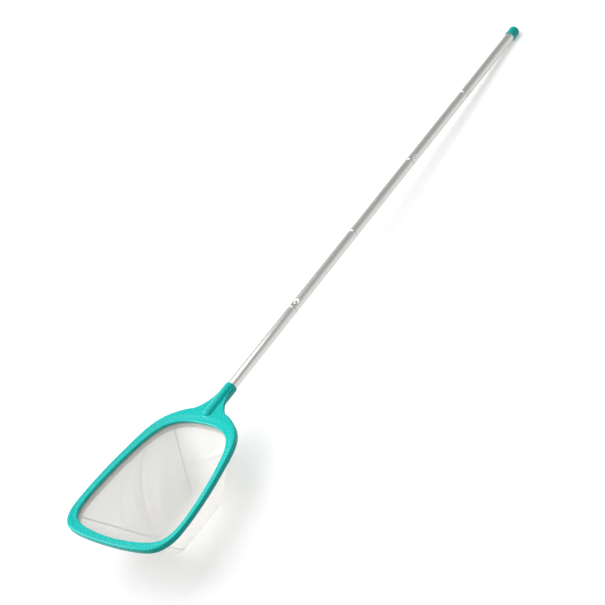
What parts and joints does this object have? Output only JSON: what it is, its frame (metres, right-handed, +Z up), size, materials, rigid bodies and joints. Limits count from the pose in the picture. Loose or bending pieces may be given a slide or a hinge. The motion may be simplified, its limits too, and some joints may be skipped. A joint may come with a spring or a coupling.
{
  "type": "leaf skimmer net",
  "caption": "Hand leaf skimmer for pools: a moulded net head with a sewn mesh bag, pushed onto a sectional aluminium pole with spring push buttons.",
  "frame": {"origin": "on the floor under the middle of the net's bounding box, as it lies on the bottom of its bag and on its end cap", "axes": "+Z up from the floor, +Y from the net head towards the pole's end cap, +X across the net"},
  "size_m": [0.3818, 2.0888, 0.1956],
  "materials": {
    "teal_polypropylene": "moulded, satin gloss",
    "aluminium_tube": "drawn and polished",
    "spring_steel": "bright",
    "nylon_mesh": "fine woven mesh",
    "hem_piping": "twisted cord"
  },
  "bodies": {
    "net_head": {"net_frame": "teal_polypropylene", "mesh_bag": "nylon_mesh", "hem_cord": "hem_piping", "bag_retaining_ring": "teal_polypropylene", "ring_screw_1": "spring_steel", "ring_screw_2": "spring_steel", "ring_screw_3": "spring_steel", "ring_screw_4": "spring_steel", "ring_screw_5": "spring_steel", "ring_screw_6": "spring_steel", "ring_screw_7": "spring_steel", "ring_screw_8": "spring_steel"},
    "pole": {"pole_section_1": "aluminium_tube", "pole_section_2": "aluminium_tube", "pole_section_3": "aluminium_tube", "pole_section_4": "aluminium_tube", "pole_section_5": "aluminium_tube", "spring_clip_1": "spring_steel", "spring_clip_2": "spring_steel", "spring_clip_3": "spring_steel", "spring_clip_4": "spring_steel", "end_cap": "teal_polypropylene"},
    "push_button_1": {"push_button_1": "spring_steel"},
    "push_button_2": {"push_button_2": "spring_steel"},
    "push_button_3": {"push_button_3": "spring_steel"},
    "push_button_4": {"push_button_4": "spring_steel"}
  },
  "joints": [
    {"name": "pole_pull_off", "type": "slide", "parent": "net_head", "child": "pole", "axis": [0, 0.9966, -0.0819], "range_m": [0, 0.115]},
    {"name": "button_1_press", "type": "hinge", "parent": "pole", "child": "push_button_1", "pos_m": [-0.00015, -0.2306, 0.12024], "axis": [-0.9272, 0.0307, 0.3733], "range_deg": [0, 5.2], "stiffness_Nm_per_rad": 0.5, "springref_deg": -28.65},
    {"name": "button_2_press", "type": "hinge", "parent": "pole", "child": "push_button_2", "pos_m": [-0.00031, 0.07841, 0.09546], "axis": [0.6428, 0.0628, 0.7635], "range_deg": [0, 5.2], "stiffness_Nm_per_rad": 0.5, "springref_deg": -28.65},
    {"name": "button_3_press", "type": "hinge", "parent": "pole", "child": "push_button_3", "pos_m": [-0.00038, 0.38734, 0.06967], "axis": [-0.342, 0.077, 0.9365], "range_deg": [0, 5.2], "stiffness_Nm_per_rad": 0.5, "springref_deg": -28.65},
    {"name": "button_4_press", "type": "hinge", "parent": "pole", "child": "push_button_4", "pos_m": [-0.00039, 0.69632, 0.04451], "axis": [0.2588, 0.0791, 0.9627], "range_deg": [0, 5.2], "stiffness_Nm_per_rad": 0.5, "springref_deg": -28.65}
  ]
}
